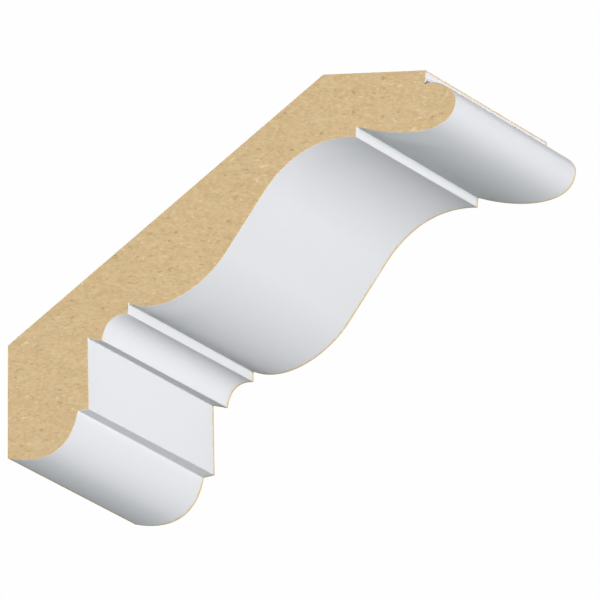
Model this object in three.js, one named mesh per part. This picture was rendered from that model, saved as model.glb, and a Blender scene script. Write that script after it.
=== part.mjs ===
// A short length of crown moulding, machined from one MDF board and primed on its show face.
// Millimetres. X reaches out from the wall, Z rises and Y runs along the moulding.
// The origin is the middle of the flat that sits on the wall.

import * as THREE from 'three';

// Driving sizes
const LENGTH = 76;
const WALL_FLAT = 18.2;
const CEILING_FLAT = 17;
const CURVE_STEPS = 28;

// The show face, member by member from the foot of the wall flat up to the ceiling flat:
// how far each reaches out and how far it rises. A curved member also says which way its
// surface faces where it starts and ends, in degrees, with 0 straight out from the wall and
// -90 straight down, and how long it keeps each of those directions, in parts of its chord.
const SHOW_FACE = [
  { member: 'ovolo', reach: 11.6, rise: 7.2, facing: [-102, -10], hold: [0.46, 0.47] },
  { member: 'lower ledge', reach: 1.8, rise: 0.3 },
  { member: 'fascia', reach: -0.2, rise: 11.4 },
  { member: 'upper ledge', reach: 2.4, rise: -0.5 },
  { member: 'small cove', reach: 4.3, rise: 4.1, facing: [-6, -94], hold: [0.44, 0.44] },
  { member: 'lower fillet', reach: 0, rise: 1.7 },
  { member: 'ogee belly', reach: 16.2, rise: 7.7, facing: [-113, -33], hold: [0.33, 0.36] },
  { member: 'ogee flank', reach: 5.9, rise: 8.9 },
  { member: 'ogee hollow', reach: 15.4, rise: 8.7, facing: [-33, -93], hold: [0.4, 0.35] },
  { member: 'upper fillet', reach: 0.1, rise: 1.6 },
  { member: 'bead underside', reach: 16.3, rise: 3.8, facing: [-107.5, 0], hold: [0.43, 0.35] },
  { member: 'bead nose', reach: -5.1, rise: 2.6, facing: [0, 109], hold: [0.25, 0.46] },
  { member: 'top fillet', reach: 0.3, rise: 2.2 },
];

const BARE_MDF = { color: '#d3b88d', roughness: 0.85, metalness: 0 };

// The outline runs with the board on its left, so a surface faces to the right of its run.
function runDirection(facing) {
  const angle = THREE.MathUtils.degToRad(facing + 90);
  return new THREE.Vector2(Math.cos(angle), Math.sin(angle));
}

function addMember(outline, { reach, rise, facing, hold }) {
  const start = outline.currentPoint.clone();
  const end = start.clone().add(new THREE.Vector2(reach, rise));
  if (!facing) {
    outline.lineTo(end.x, end.y);
    return;
  }
  const chord = start.distanceTo(end);
  const leaving = start.clone().addScaledVector(runDirection(facing[0]), hold[0] * chord);
  const arriving = end.clone().addScaledVector(runDirection(facing[1]), -hold[1] * chord);
  outline.bezierCurveTo(leaving.x, leaving.y, arriving.x, arriving.y, end.x, end.y);
}

// The wall flat stands on X = 0, half of it above the origin and half below. The ceiling flat
// is level, and the sloping back that closes the outline is the flat face of the board.
function mouldingOutline() {
  const outline = new THREE.Shape();
  outline.moveTo(0, -WALL_FLAT / 2);
  SHOW_FACE.forEach((member) => addMember(outline, member));
  const ceilingFront = outline.currentPoint;
  outline.lineTo(ceilingFront.x - CEILING_FLAT, ceilingFront.y);
  outline.lineTo(0, WALL_FLAT / 2);
  outline.closePath();
  return outline;
}

// The outline is cut square at both ends of the length, which is centred on the origin.
function makeMoulding() {
  const solid = new THREE.ExtrudeGeometry(mouldingOutline(), {
    depth: LENGTH,
    steps: 1,
    curveSegments: CURVE_STEPS,
    bevelEnabled: false,
  });
  const moulding = new THREE.Mesh(solid, new THREE.MeshStandardMaterial(BARE_MDF));
  moulding.name = 'moulding';
  moulding.rotation.x = Math.PI / 2;
  moulding.position.y = LENGTH / 2;
  return moulding;
}

const crownMoulding = new THREE.Group();
crownMoulding.add(makeMoulding());

export default crownMoulding;
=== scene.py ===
"""A three inch length of primed MDF crown moulding, turned as it is fixed between a wall and a ceiling."""

import math

import bmesh
import bpy
from bpy.props import FloatProperty, FloatVectorProperty, IntProperty, PointerProperty
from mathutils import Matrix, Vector
from mathutils.geometry import interpolate_bezier


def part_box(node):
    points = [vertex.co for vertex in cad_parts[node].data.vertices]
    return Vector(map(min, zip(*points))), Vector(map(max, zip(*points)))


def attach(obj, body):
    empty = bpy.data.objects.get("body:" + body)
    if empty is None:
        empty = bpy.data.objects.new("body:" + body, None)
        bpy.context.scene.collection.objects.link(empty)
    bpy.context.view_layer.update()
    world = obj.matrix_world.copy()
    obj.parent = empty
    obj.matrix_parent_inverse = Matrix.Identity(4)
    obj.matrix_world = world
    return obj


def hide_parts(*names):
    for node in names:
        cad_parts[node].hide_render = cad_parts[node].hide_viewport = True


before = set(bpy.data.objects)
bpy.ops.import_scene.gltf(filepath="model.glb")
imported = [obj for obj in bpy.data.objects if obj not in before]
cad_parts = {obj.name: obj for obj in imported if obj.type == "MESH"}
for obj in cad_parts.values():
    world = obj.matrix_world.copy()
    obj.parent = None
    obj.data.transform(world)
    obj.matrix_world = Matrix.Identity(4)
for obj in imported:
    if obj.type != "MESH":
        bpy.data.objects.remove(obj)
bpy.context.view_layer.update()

bl_info = {
    "name": "Crown moulding length",
    "version": (1, 0, 0),
    "blender": (4, 5, 0),
    "location": "View3D > Sidebar > Moulding",
    "description": "Builds a short length of primed MDF crown moulding and its stage",
    "category": "Add Mesh",
}

MM = 0.001
NODE = "moulding"
LOWEST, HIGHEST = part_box(NODE)

# The show face, member by member from the foot of the wall flat up to the ceiling flat, in millimetres:
# how far each reaches out and rises. A curved one also has the way its surface faces at both ends, in
# degrees with 0 straight out and -90 straight down, and how long it keeps those directions, in chords.
SHOW_FACE = (
    {"member": "ovolo", "reach": 11.6, "rise": 7.2, "facing": (-102, -10), "hold": (0.46, 0.47)},
    {"member": "lower ledge", "reach": 1.8, "rise": 0.3},
    {"member": "fascia", "reach": -0.2, "rise": 11.4},
    {"member": "upper ledge", "reach": 2.4, "rise": -0.5},
    {"member": "small cove", "reach": 4.3, "rise": 4.1, "facing": (-6, -94), "hold": (0.44, 0.44)},
    {"member": "lower fillet", "reach": 0.0, "rise": 1.7},
    {"member": "ogee belly", "reach": 16.2, "rise": 7.7, "facing": (-113, -33), "hold": (0.33, 0.36)},
    {"member": "ogee flank", "reach": 5.9, "rise": 8.9},
    {"member": "ogee hollow", "reach": 15.4, "rise": 8.7, "facing": (-33, -93), "hold": (0.4, 0.35)},
    {"member": "upper fillet", "reach": 0.1, "rise": 1.6},
    {"member": "bead underside", "reach": 16.3, "rise": 3.8, "facing": (-107.5, 0), "hold": (0.43, 0.35)},
    {"member": "bead nose", "reach": -5.1, "rise": 2.6, "facing": (0, 109), "hold": (0.25, 0.46)},
    {"member": "top fillet", "reach": 0.3, "rise": 2.2},
)

# The members that run on into the next one without a corner
FLOWING_ON = ("ogee belly", "ogee flank", "bead underside")

# The piece's material slots
SAWN, PLANED, PRIMED, ARRIS = range(4)

# The strips that make up each eased edge
EASING_STRIPS = 2

# Facets that meet at less than this are one curve
CORNER = math.radians(25)

# The sockets of a Mix node that hold colours
COLOUR_A, COLOUR_B, COLOUR_OUT = 6, 7, 2

# The layers of the board's fibre: the size of each pattern in millimetres, its finer detail and roughness,
# and its share in the tone, which goes from the dark fibre at 0 to the pale at 1
FIBRE_LAYERS = (
    {"size": 0.29, "detail": 2, "roughness": 0.6, "share": 0.66},
    {"size": 1.1, "detail": 1, "roughness": 0.5, "share": 0.22},
    {"size": 7.0, "detail": 1, "roughness": 0.5, "share": 0.06},
)
TONE_FLOOR = 0.03

# The sizes of the other patterns, in millimetres
HEARTWOOD_PATCH = 0.34
FLECK = 0.48
SANDING_MARK = 0.3
RAGGED_TOOTH = 0.9
SPRAY_DROP = 1.1

# The depth of each surface's relief
SAWN_RELIEF = 0.012 * MM
PLANED_RELIEF = 0.008 * MM
TORN_RELIEF = 0.03 * MM
COAT_RELIEF = 0.015 * MM
STIPPLE_RELIEF = 0.002 * MM

# How high the planed fibre stands beside the sanding marks, and the cutter's ripple beside the stipple
FIBRE_HEIGHT = 0.4
RIPPLE_HEIGHT = 0.3

# Where a noise pattern has nearly all its values
NOISE_RANGE = {"From Min": 0.3, "From Max": 0.7}

# Half the width over which the primer's edge thins out, as a share of the bare strip beside it
COAT_EDGE = 0.04

# How far that strip is on its way from packed board to fresh torn fibre
TORN_SHARE = 0.65


def linear(hex_colour):
    """An sRGB colour such as "d3b88d" as linear red, green, blue and full alpha."""
    channels = [int(hex_colour[i:i + 2], 16) / 255 for i in (0, 2, 4)]
    return [c / 12.92 if c <= 0.04045 else ((c + 0.055) / 1.055) ** 2.4 for c in channels] + [1.0]


def colour_property(name, description, hex_colour):
    """A colour that the user can change."""
    return FloatVectorProperty(
        name=name, description=description, subtype="COLOR", size=4, min=0, max=1, default=linear(hex_colour)
    )


class MouldingSizes(bpy.types.PropertyGroup):
    length: FloatProperty(
        name="Length", description="Between the two sawn ends", unit="LENGTH", default=HIGHEST.y - LOWEST.y
    )
    wall_flat: FloatProperty(
        name="Wall flat", description="Height of the flat on the wall side", unit="LENGTH", default=18.2 * MM
    )
    ceiling_flat: FloatProperty(
        name="Ceiling flat", description="Depth of the flat on top", unit="LENGTH", default=17 * MM
    )
    arris: FloatProperty(
        name="Arris", description="How far each sharp edge is eased", unit="LENGTH", default=0.18 * MM
    )
    curve_steps: IntProperty(
        name="Curve steps", description="Facets in each curved member", default=40, min=8
    )


class BoardFinish(bpy.types.PropertyGroup):
    dark: colour_property("Dark fibre", "Darkest of the packed wood fibre", "997b47")
    pale: colour_property("Pale fibre", "Palest of the packed wood fibre", "d0ba97")
    heart: colour_property("Heartwood fibre", "Redder fibre here and there in the board", "c89c55")
    bark: colour_property("Bark", "Specks of bark and cured resin", "6e5633")
    torn: colour_property("Torn fibre", "Fresh fibre along a broken edge of the primer", "d9c084")


class PrimerFinish(bpy.types.PropertyGroup):
    colour: colour_property("Primer", "Flat white acrylic primer", "d0d0d0")
    far_chips: FloatProperty(
        name="Far chips", description="Primer torn off at the far saw cut", unit="LENGTH", default=0.9 * MM
    )
    near_chips: FloatProperty(
        name="Near chips", description="Primer torn off at the near saw cut", unit="LENGTH", default=0.1 * MM
    )
    foot_gap: FloatProperty(
        name="Foot gap", description="Bare strip along the wall arris", unit="LENGTH", default=0.6 * MM
    )
    top_gap: FloatProperty(
        name="Top gap", description="Bare strip along the ceiling arris", unit="LENGTH", default=0.25 * MM
    )


class StageSettings(bpy.types.PropertyGroup):
    azimuth: FloatProperty(
        name="Azimuth",
        description="Camera's turn from the sawn end",
        subtype="ANGLE",
        default=math.radians(15.15),
    )
    elevation: FloatProperty(
        name="Elevation", description="Camera's height angle", subtype="ANGLE", default=math.radians(-8.7)
    )
    framed_width: FloatProperty(
        name="Framed width",
        description="What the picture spans at mid length",
        unit="LENGTH",
        default=96.14 * MM,
    )
    aim: FloatVectorProperty(
        name="Aim", description="Middle of the picture", subtype="XYZ", default=(37.93 * MM, 0, 20.51 * MM)
    )
    lens: FloatProperty(name="Lens", description="Focal length", unit="CAMERA", default=1700)
    floor_drop: FloatProperty(
        name="Floor drop", description="Floor below the moulding", unit="LENGTH", default=2.4
    )
    floor_width: FloatProperty(
        name="Floor width", description="Side of the square floor", unit="LENGTH", default=1.2
    )
    floor_colour: colour_property("Floor", "Pale grey studio floor", "dcdcdc")


def run_direction(facing):
    """The outline runs with the board on its left, so a surface faces to the right of its run."""
    angle = math.radians(facing + 90)
    return Vector((math.cos(angle), math.sin(angle)))


def member_points(start, member, steps):
    """The outline's points along one member, after its start."""
    end = start + Vector((member["reach"], member["rise"])) * MM
    if "facing" not in member:
        return [end]
    chord = (end - start).length
    leaving = start + run_direction(member["facing"][0]) * member["hold"][0] * chord
    arriving = end - run_direction(member["facing"][1]) * member["hold"][1] * chord
    knots = [point.to_3d() for point in (start, leaving, arriving, end)]
    return [point.to_2d() for point in interpolate_bezier(*knots, steps + 1)[1:]]


def moulding_outline(sizes):
    """The outline's points from the foot of the wall flat round to its top, which of them are corners, and
    which one ends the show face."""
    points = [Vector((0, -sizes.wall_flat / 2))]
    corners = [0]
    for member in SHOW_FACE:
        points += member_points(points[-1], member, sizes.curve_steps)
        if member["member"] not in FLOWING_ON:
            corners.append(len(points) - 1)
    primed = len(points) - 1
    points += [points[-1] - Vector((sizes.ceiling_flat, 0)), Vector((0, sizes.wall_flat / 2))]
    corners += [primed + 1, primed + 2]
    return points, corners, primed


def link_object(name, data):
    """An object of the scene that holds the data."""
    thing = bpy.data.objects.new(name, data)
    bpy.context.scene.collection.objects.link(thing)
    return thing


def mesh_object(name, bm):
    """An object made of a finished shape, which is then freed."""
    mesh = bpy.data.meshes.new(name)
    bm.to_mesh(mesh)
    bm.free()
    return link_object(name, mesh)


def runs_along(edge):
    """Whether an edge runs along the moulding, and not round an end."""
    return abs(edge.verts[0].co.y - edge.verts[1].co.y) > MM


def build_moulding(points, corners, primed, sizes):
    """The outline as one face, carried along the length, with every sharp edge eased."""
    bm = bmesh.new()
    near = -sizes.length / 2
    ring = [bm.verts.new((x, near, z)) for x, z in points]
    end = bm.faces.new(ring)
    end.material_index = SAWN
    carried = bmesh.ops.extrude_face_region(bm, geom=[end], use_keep_orig=True)
    moved = [item for item in carried["geom"] if isinstance(item, bmesh.types.BMVert)]
    bmesh.ops.translate(bm, verts=moved, vec=(0, sizes.length, 0))
    places = {vert: index for index, vert in enumerate(ring)}
    for face in bm.faces:
        if len(face.verts) == 4:
            first, last = sorted(places[vert] for vert in face.verts if vert in places)
            on_show_face = last <= primed and last - first == 1
            face.material_index = PRIMED if on_show_face else PLANED
    bmesh.ops.recalc_face_normals(bm, faces=bm.faces)
    long_edges = [edge for i in corners for edge in ring[i].link_edges if runs_along(edge)]
    rims = [edge for edge in bm.edges if not runs_along(edge)]
    easing = bmesh.ops.bevel(
        bm,
        geom=long_edges + rims,
        offset=sizes.arris,
        offset_type="OFFSET",
        segments=EASING_STRIPS,
        profile=0.5,
        affect="EDGES",
        material=-1,
        clamp_overlap=True,
    )
    strips = set(easing["faces"])
    # The eased strips beside the bare back and flats are torn fibre, as far as the primer.
    bare = {face for face in bm.faces if face.material_index == PLANED and face not in strips}
    for _ in range(EASING_STRIPS):
        bare |= {near for face in bare for edge in face.edges for near in edge.link_faces if near in strips}
    for face in bare & strips:
        if face.material_index != PRIMED:
            face.material_index = ARRIS
    # The eased strips shade apart from the broad faces, so that those keep their own flat or round shading.
    for face in bm.faces:
        face.smooth = True
    for edge in bm.edges:
        eased_sides = sum(face in strips for face in edge.link_faces)
        edge.smooth = eased_sides == 2 or (eased_sides == 0 and edge.calc_face_angle() < CORNER)
    return mesh_object("primed_moulding", bm)


def add(tree, kind, inputs=None, **settings):
    """Adds a node with its settings. An input is a value, or the output socket that it is linked to."""
    node = tree.nodes.new(kind)
    for name, value in settings.items():
        setattr(node, name, value)
    for socket, value in (inputs or {}).items():
        if isinstance(value, bpy.types.NodeSocket):
            tree.links.new(value, node.inputs[socket])
        else:
            node.inputs[socket].default_value = value
    return node


def new_material(name):
    """A node material with its tree and the shader that its patterns go into."""
    material = bpy.data.materials.new(name)
    material.use_nodes = True
    tree = material.node_tree
    tree.nodes.clear()
    output = add(tree, "ShaderNodeOutputMaterial")
    shader = add(tree, "ShaderNodeBsdfPrincipled")
    tree.links.new(shader.outputs["BSDF"], output.inputs["Surface"])
    return material, tree, shader


def millimetres(tree, longer=(1, 1, 1)):
    """Object coordinates in millimetres, which draw a pattern `longer` times its size along each axis."""
    place = add(tree, "ShaderNodeTexCoord").outputs["Object"]
    scale = [1 / (MM * times) for times in longer]
    return add(tree, "ShaderNodeMapping", {"Vector": place, "Scale": scale}).outputs["Vector"]


def bare_board(tree, board, longer):
    """Colour and tone of packed wood fibre: fibres of a third of a millimetre in clumps and patches, some
    of them redder, with furred pale flecks and specks of bark among them. Real fibres are about a tenth as
    thick; they are drawn as thick as the flecks they gather into."""
    place = millimetres(tree, longer)
    tone = TONE_FLOOR
    for layer in FIBRE_LAYERS:
        look = {"Scale": 1 / layer["size"], "Detail": layer["detail"], "Roughness": layer["roughness"]}
        fibre = add(tree, "ShaderNodeTexNoise", {"Vector": place, **look}).outputs["Fac"]
        tone = add(
            tree, "ShaderNodeMath", {0: fibre, 1: layer["share"], 2: tone}, operation="MULTIPLY_ADD"
        ).outputs[0]
    colour = add(
        tree, "ShaderNodeMix", {0: tone, COLOUR_A: board.dark, COLOUR_B: board.pale}, data_type="RGBA"
    ).outputs[COLOUR_OUT]
    # A fourth coordinate keeps the redder patches apart from the fibre's own pattern.
    redness = add(
        tree,
        "ShaderNodeTexNoise",
        {"Vector": place, "W": 5.0, "Scale": 1 / HEARTWOOD_PATCH, "Detail": 1.0},
        noise_dimensions="4D",
    ).outputs["Fac"]
    fleck = add(
        tree, "ShaderNodeTexNoise", {"Vector": place, "Scale": 1 / FLECK, "Detail": 1.0, "Roughness": 0.45}
    ).outputs["Fac"]
    for pattern, starts, full, strength, tint in (
        (redness, 0.42, 0.75, 0.25, board.heart),
        (fleck, 0.33, 0.22, 0.7, board.pale),
        (fleck, 0.66, 0.79, 0.38, board.bark),
    ):
        share = add(
            tree,
            "ShaderNodeMapRange",
            {"Value": pattern, "From Min": starts, "From Max": full, "To Max": strength},
        ).outputs["Result"]
        colour = add(
            tree, "ShaderNodeMix", {0: share, COLOUR_A: colour, COLOUR_B: tint}, data_type="RGBA"
        ).outputs[COLOUR_OUT]
    return colour, tone


def sawn_board(board):
    """Medium density fibreboard across a saw cut. The eye gets it from the short level flecks of fibre,
    mixed pale and brown, from scattered dark specks of bark, and from the lack of any sheen."""
    material, tree, shader = new_material("sawn_fibreboard")
    colour, tone = bare_board(tree, board, longer=(2.1, 2.1, 1.0))
    surface = add(tree, "ShaderNodeBump", {"Height": tone, "Distance": SAWN_RELIEF}).outputs["Normal"]
    tree.links.new(colour, shader.inputs["Base Color"])
    tree.links.new(surface, shader.inputs["Normal"])
    shader.inputs["Roughness"].default_value = 0.9
    shader.inputs["Specular IOR Level"].default_value = 0.2
    return material


def planed_board(board):
    """Medium density fibreboard off the cutter and the sander: tighter and browner than the saw cut, its
    fibres lying every way, with hair-fine sanding marks along the length that catch a slight sheen."""
    material, tree, shader = new_material("planed_fibreboard")
    colour, tone = bare_board(tree, board, longer=(1.3, 1.3, 1.3))
    along = millimetres(tree, longer=(1, 60, 1))
    marks = add(
        tree,
        "ShaderNodeTexNoise",
        {"Vector": along, "Scale": 1 / SANDING_MARK, "Detail": 2.0, "Roughness": 0.6},
    ).outputs["Fac"]
    rubbed = add(
        tree, "ShaderNodeMapRange", {"Value": marks, **NOISE_RANGE, "To Min": 0.2, "To Max": 0.0}
    ).outputs["Result"]
    browner = add(
        tree, "ShaderNodeMix", {0: rubbed, COLOUR_A: colour, COLOUR_B: board.bark}, data_type="RGBA"
    ).outputs[COLOUR_OUT]
    sheen = add(
        tree, "ShaderNodeMapRange", {"Value": marks, **NOISE_RANGE, "To Min": 0.62, "To Max": 0.8}
    ).outputs["Result"]
    height = add(
        tree, "ShaderNodeMath", {0: tone, 1: FIBRE_HEIGHT, 2: marks}, operation="MULTIPLY_ADD"
    ).outputs[0]
    surface = add(tree, "ShaderNodeBump", {"Height": height, "Distance": PLANED_RELIEF}).outputs["Normal"]
    tree.links.new(browner, shader.inputs["Base Color"])
    tree.links.new(sheen, shader.inputs["Roughness"])
    tree.links.new(surface, shader.inputs["Normal"])
    return material


def torn_arris(board):
    """The arrises of the bare board, where the fibre breaks out fresh and golden and a little furred."""
    material, tree, shader = new_material("torn_fibreboard")
    colour, tone = bare_board(tree, board, longer=(1, 1, 1))
    fresh = add(
        tree, "ShaderNodeMapRange", {"Value": tone, "From Min": 0.35, "From Max": 0.6, "To Max": 0.5}
    ).outputs["Result"]
    golden = add(
        tree, "ShaderNodeMix", {0: fresh, COLOUR_A: colour, COLOUR_B: board.torn}, data_type="RGBA"
    ).outputs[COLOUR_OUT]
    surface = add(tree, "ShaderNodeBump", {"Height": tone, "Distance": TORN_RELIEF}).outputs["Normal"]
    tree.links.new(golden, shader.inputs["Base Color"])
    tree.links.new(surface, shader.inputs["Normal"])
    shader.inputs["Roughness"].default_value = 0.95
    return material


def coat(tree, primer, foot, front, half_length):
    """1 where the primer covers the show face and 0 on the ragged bare strip along its four rims, which are
    the foot of the outline, the front of the ceiling flat and the two saw cuts."""
    place = add(tree, "ShaderNodeTexCoord").outputs["Object"]
    axes = add(tree, "ShaderNodeSeparateXYZ", {"Vector": place}).outputs
    ragged = add(
        tree,
        "ShaderNodeTexNoise",
        {"Vector": millimetres(tree), "Scale": 1 / RAGGED_TOOTH, "Detail": 3.0, "Roughness": 0.6},
    ).outputs["Fac"]
    depth = add(
        tree, "ShaderNodeMapRange", {"Value": ragged, **NOISE_RANGE, "To Min": 0.6, "To Max": 1.4}
    ).outputs["Result"]
    inward = None
    for axis, rim, gap in (
        ("X", foot.x, primer.foot_gap),
        ("Z", front.y, -primer.top_gap),
        ("Y", -half_length, primer.near_chips),
        ("Y", half_length, -primer.far_chips),
    ):
        gaps_in = add(
            tree,
            "ShaderNodeMapRange",
            {"Value": axes[axis], "From Min": rim, "From Max": rim + gap},
            clamp=False,
        ).outputs["Result"]
        if inward:
            gaps_in = add(tree, "ShaderNodeMath", {0: inward, 1: gaps_in}, operation="MINIMUM").outputs[0]
        inward = gaps_in
    over = add(tree, "ShaderNodeMath", {0: inward, 1: depth}, operation="SUBTRACT").outputs[0]
    return add(
        tree, "ShaderNodeMapRange", {"Value": over, "From Min": -COAT_EDGE, "From Max": COAT_EDGE}
    ).outputs["Result"]


def primed_face(primer, board, foot, front, half_length):
    """Flat white acrylic primer sprayed on the cutter's face. The eye gets it from the even, chalky white,
    the faint stipple of the spray over raised fibre, and the ragged edge where the saw and the arris break
    it."""
    material, tree, shader = new_material("sprayed_primer")
    covered = coat(tree, primer, foot, front, half_length)
    bare, _ = bare_board(tree, board, longer=(1, 1, 1))
    golden = add(
        tree, "ShaderNodeMix", {0: TORN_SHARE, COLOUR_A: bare, COLOUR_B: board.torn}, data_type="RGBA"
    ).outputs[COLOUR_OUT]
    # Spray settles in drops of about a millimetre, over fibre raised in points of a third of that.
    stipple = add(
        tree,
        "ShaderNodeTexNoise",
        {"Vector": millimetres(tree), "Scale": 1 / SPRAY_DROP, "Detail": 2.0, "Roughness": 0.7},
    ).outputs["Fac"]
    thin = add(
        tree, "ShaderNodeMapRange", {"Value": stipple, **NOISE_RANGE, "To Min": 0.02, "To Max": 0.0}
    ).outputs["Result"]
    white = add(
        tree, "ShaderNodeMix", {0: thin, COLOUR_A: primer.colour, COLOUR_B: board.dark}, data_type="RGBA"
    ).outputs[COLOUR_OUT]
    colour = add(
        tree, "ShaderNodeMix", {0: covered, COLOUR_A: golden, COLOUR_B: white}, data_type="RGBA"
    ).outputs[COLOUR_OUT]
    dull = add(
        tree, "ShaderNodeMapRange", {"Value": stipple, **NOISE_RANGE, "To Min": 0.85, "To Max": 0.75}
    ).outputs["Result"]
    # The cutter leaves a ripple across the length at every knife mark, under the coat. This scale puts the
    # marks 2 mm apart.
    ripple = add(
        tree,
        "ShaderNodeTexWave",
        {"Vector": millimetres(tree), "Scale": 0.16, "Distortion": 0.6, "Detail": 1.0},
        bands_direction="Y",
    ).outputs["Fac"]
    skin = add(
        tree, "ShaderNodeMath", {0: ripple, 1: RIPPLE_HEIGHT, 2: stipple}, operation="MULTIPLY_ADD"
    ).outputs[0]
    film = add(tree, "ShaderNodeBump", {"Height": covered, "Distance": COAT_RELIEF}).outputs["Normal"]
    surface = add(
        tree, "ShaderNodeBump", {"Height": skin, "Distance": STIPPLE_RELIEF, "Normal": film}
    ).outputs["Normal"]
    tree.links.new(colour, shader.inputs["Base Color"])
    tree.links.new(dull, shader.inputs["Roughness"])
    tree.links.new(surface, shader.inputs["Normal"])
    shader.inputs["Specular IOR Level"].default_value = 0.2
    return material


class CROWN_OT_moulding(bpy.types.Operator):
    """Adds the moulding length with its raw and primed faces"""

    bl_idname = "crown.moulding"
    bl_label = "Add moulding length"

    def execute(self, context):
        scene = context.scene
        sizes, board, primer = scene.moulding_sizes, scene.board_finish, scene.primer_finish
        points, corners, primed = moulding_outline(sizes)
        piece = build_moulding(points, corners, primed, sizes)
        # In the order of the slots
        for material in (
            sawn_board(board),
            planed_board(board),
            primed_face(primer, board, points[0], points[primed], sizes.length / 2),
            torn_arris(board),
        ):
            piece.data.materials.append(material)
        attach(piece, "root")
        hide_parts(NODE)
        return {"FINISHED"}


# Each lamp: its direction from the middle of the moulding, and its power in watts per channel. The show
# face is lit hardest from straight out and least from below, for the steep shading from white to grey.
LAMPS = (
    {"name": "key_low", "from": (0.814, -0.5, -0.296), "power": (11.1, 14.0, 12.9)},
    {"name": "key_high", "from": (0.853, -0.5, -0.15), "power": (13.0, 10.2, 12.3)},
    {"name": "over_key", "from": (0.837, -0.5, 0.224), "power": (1.1, 1.5, 1.3)},
    {"name": "above", "from": (0.0, -0.5, 0.866), "power": (3.2, 3.3, 3.3)},
    {"name": "over_wall", "from": (-0.5, -0.2, 0.843), "power": (5.5, 5.5, 5.5)},
    {"name": "under_front", "from": (-0.224, -0.5, -0.837), "power": (1.4, 1.35, 1.55)},
    {"name": "under", "from": (-0.433, -0.5, -0.75), "power": (2.1, 2.0, 2.2)},
    {"name": "under_back", "from": (-0.612, -0.5, -0.612), "power": (2.5, 2.7, 2.65)},
    {"name": "wall_side", "from": (-0.837, -0.5, -0.224), "power": (5.8, 6.4, 7.4)},
    {"name": "rim", "from": (-0.8, -0.2, 0.566), "power": (9.5, 9.5, 9.5)},
    {"name": "behind", "from": (-0.35, 0.9, 0.26), "power": (23.0, 23.0, 23.0)},
)

# How far off and how wide the lamps are, in metres, and the cone that their light keeps to
LAMP_DISTANCE = 4.0
LAMP_WIDTH = 0.8
LAMP_SPREAD = math.radians(60)

# The brightness of the backdrop, a shade under pure white
BACKDROP = 0.991

# The nearest and farthest that the camera sees, as shares of its distance from the aim
NEAREST, FARTHEST = 0.1, 2.0


def place_facing(thing, location, back):
    """Puts a lamp or camera in its place, where it looks the other way from `back`."""
    thing.location = location
    thing.rotation_euler = back.to_track_quat("Z", "Y").to_euler()


def add_lamp(lamp, middle):
    """A square lamp that shines at the middle of the moulding."""
    data = bpy.data.lights.new(lamp["name"], "AREA")
    data.shape = "SQUARE"
    data.size = LAMP_WIDTH
    data.spread = LAMP_SPREAD
    data.energy = max(lamp["power"])
    data.color = [channel / data.energy for channel in lamp["power"]]
    back = Vector(lamp["from"])
    place_facing(link_object(lamp["name"], data), middle + back * LAMP_DISTANCE, back)


def add_world():
    """A backdrop that only the camera sees, so that the lamps alone light the moulding."""
    world = bpy.data.worlds.new("studio")
    world.use_nodes = True
    tree = world.node_tree
    tree.nodes.clear()
    dark = add(tree, "ShaderNodeBackground", {"Color": (0, 0, 0, 1)}).outputs["Background"]
    backdrop = add(
        tree, "ShaderNodeBackground", {"Color": (BACKDROP, BACKDROP, BACKDROP, 1)}
    ).outputs["Background"]
    seen = add(tree, "ShaderNodeLightPath").outputs["Is Camera Ray"]
    choice = add(tree, "ShaderNodeMixShader", {0: seen, 1: dark, 2: backdrop}).outputs["Shader"]
    add(tree, "ShaderNodeOutputWorld", {"Surface": choice})
    bpy.context.scene.world = world


def floor_paint(colour):
    """Matt grey studio paint that a camera under the floor looks through."""
    material, tree, shader = new_material("studio_paint")
    shader.inputs["Base Color"].default_value = colour
    shader.inputs["Roughness"].default_value = 0.8
    under = add(tree, "ShaderNodeNewGeometry").outputs["Backfacing"]
    through = add(tree, "ShaderNodeBsdfTransparent").outputs["BSDF"]
    one_sided = add(tree, "ShaderNodeMixShader", {0: under, 1: shader.outputs["BSDF"], 2: through})
    tree.links.new(one_sided.outputs["Shader"], tree.get_output_node("ALL").inputs["Surface"])
    return material


def add_floor(stage):
    """A small floor far below, which throws little light up at the show face."""
    bm = bmesh.new()
    bmesh.ops.create_grid(bm, x_segments=1, y_segments=1, size=stage.floor_width / 2)
    bmesh.ops.translate(bm, verts=bm.verts, vec=(0, 0, LOWEST.z - stage.floor_drop))
    floor = mesh_object("floor", bm)
    floor.data.materials.append(floor_paint(stage.floor_colour))


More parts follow.
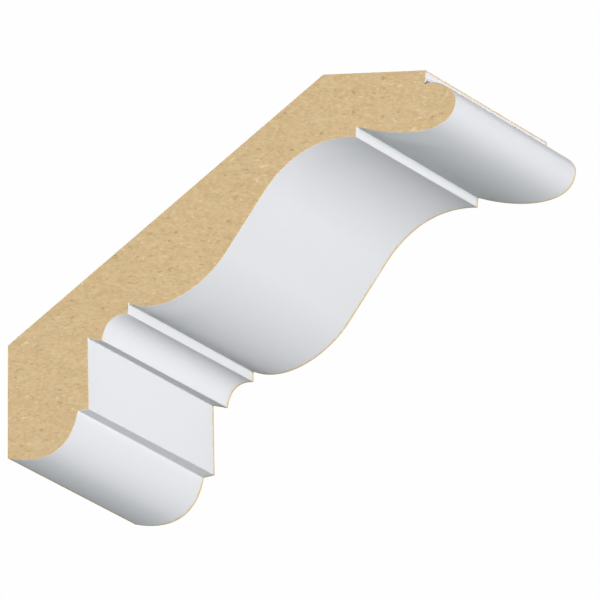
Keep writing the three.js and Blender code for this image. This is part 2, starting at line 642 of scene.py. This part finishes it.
def add_camera(stage):
    """A camera far off behind a long lens, which draws the moulding nearly in parallel projection."""
    data = bpy.data.cameras.new("camera")
    data.lens = stage.lens
    distance = stage.framed_width * data.lens / data.sensor_width
    data.clip_start = distance * NEAREST
    data.clip_end = distance * FARTHEST
    turn, height = stage.azimuth, stage.elevation
    back = Vector(
        (math.sin(turn) * math.cos(height), -math.cos(turn) * math.cos(height), math.sin(height))
    )
    camera = link_object("camera", data)
    place_facing(camera, Vector(stage.aim) + back * distance, back)
    bpy.context.scene.camera = camera


class CROWN_OT_stage(bpy.types.Operator):
    """Adds the floor, the studio light and the camera"""

    bl_idname = "crown.stage"
    bl_label = "Add stage"

    def execute(self, context):
        scene = context.scene
        scene.view_settings.view_transform = "Standard"
        add_world()
        add_floor(scene.stage_settings)
        middle = (LOWEST + HIGHEST) / 2
        for lamp in LAMPS:
            add_lamp(lamp, middle)
        add_camera(scene.stage_settings)
        return {"FINISHED"}


class CROWN_PT_panel(bpy.types.Panel):
    """The moulding's sizes, finishes and stage"""

    bl_label = "Crown moulding"
    bl_idname = "CROWN_PT_panel"
    bl_space_type = "VIEW_3D"
    bl_region_type = "UI"
    bl_category = "Moulding"

    def draw(self, context):
        for name in GROUPS:
            group = getattr(context.scene, name)
            box = self.layout.box()
            for prop in group.__annotations__:
                box.prop(group, prop)
        self.layout.operator("crown.moulding")
        self.layout.operator("crown.stage")


GROUPS = {
    "moulding_sizes": MouldingSizes,
    "board_finish": BoardFinish,
    "primer_finish": PrimerFinish,
    "stage_settings": StageSettings,
}
CLASSES = (*GROUPS.values(), CROWN_OT_moulding, CROWN_OT_stage, CROWN_PT_panel)


def register():
    for cls in CLASSES:
        bpy.utils.register_class(cls)
    for name, group in GROUPS.items():
        setattr(bpy.types.Scene, name, PointerProperty(type=group))


def unregister():
    for name in GROUPS:
        delattr(bpy.types.Scene, name)
    for cls in reversed(CLASSES):
        bpy.utils.unregister_class(cls)


def main():
    register()
    bpy.ops.crown.stage()
    bpy.ops.crown.moulding()


if __name__ == "__main__":
    main()
